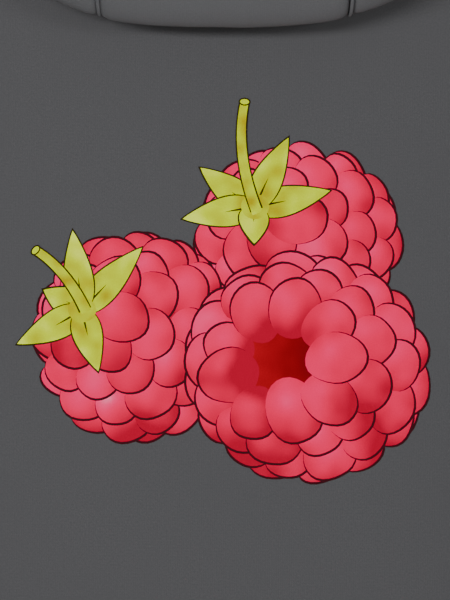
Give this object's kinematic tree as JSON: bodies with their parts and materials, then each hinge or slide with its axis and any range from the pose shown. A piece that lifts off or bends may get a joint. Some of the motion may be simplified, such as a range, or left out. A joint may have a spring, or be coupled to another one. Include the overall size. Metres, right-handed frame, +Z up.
{
  "type": "hooded sweatshirt",
  "caption": "Pullover hooded sweatshirt in charcoal fleece, worn shape, hood thrown back, kangaroo pocket, ribbed cuffs and waistband, raspberries printed on the back.",
  "frame": {"origin": "base of the neck, midway between the two neck ends of the shoulder seams, where the shoulders carry the garment", "axes": "+Z up, +Y the way the wearer faces, so the printed back faces -Y, and +X to the wearer's right"},
  "size_m": [0.817, 0.3423, 0.7542],
  "materials": {
    "fleece": "charcoal grey brushed-back cotton fleece, matt",
    "rib_knit": "charcoal grey two-by-two rib knit, matt",
    "twill_tape": "charcoal grey cotton twill tape",
    "eyelet_metal": "dark satin nickel",
    "print_ink": "thin matt screen-print ink in reds, pink and yellow-green"
  },
  "bodies": {
    "root": {"back_panel": "fleece", "front_panel": "fleece", "left_sleeve": "fleece", "right_sleeve": "fleece", "kangaroo_pocket": "fleece", "hood_centre_panel": "fleece", "hood_left_panel": "fleece", "hood_right_panel": "fleece", "left_cuff": "rib_knit", "right_cuff": "rib_knit", "waistband": "rib_knit", "neck_tape": "twill_tape", "left_eyelet": "eyelet_metal", "right_eyelet": "eyelet_metal", "raspberry_print": "print_ink"}
  },
  "joints": []
}
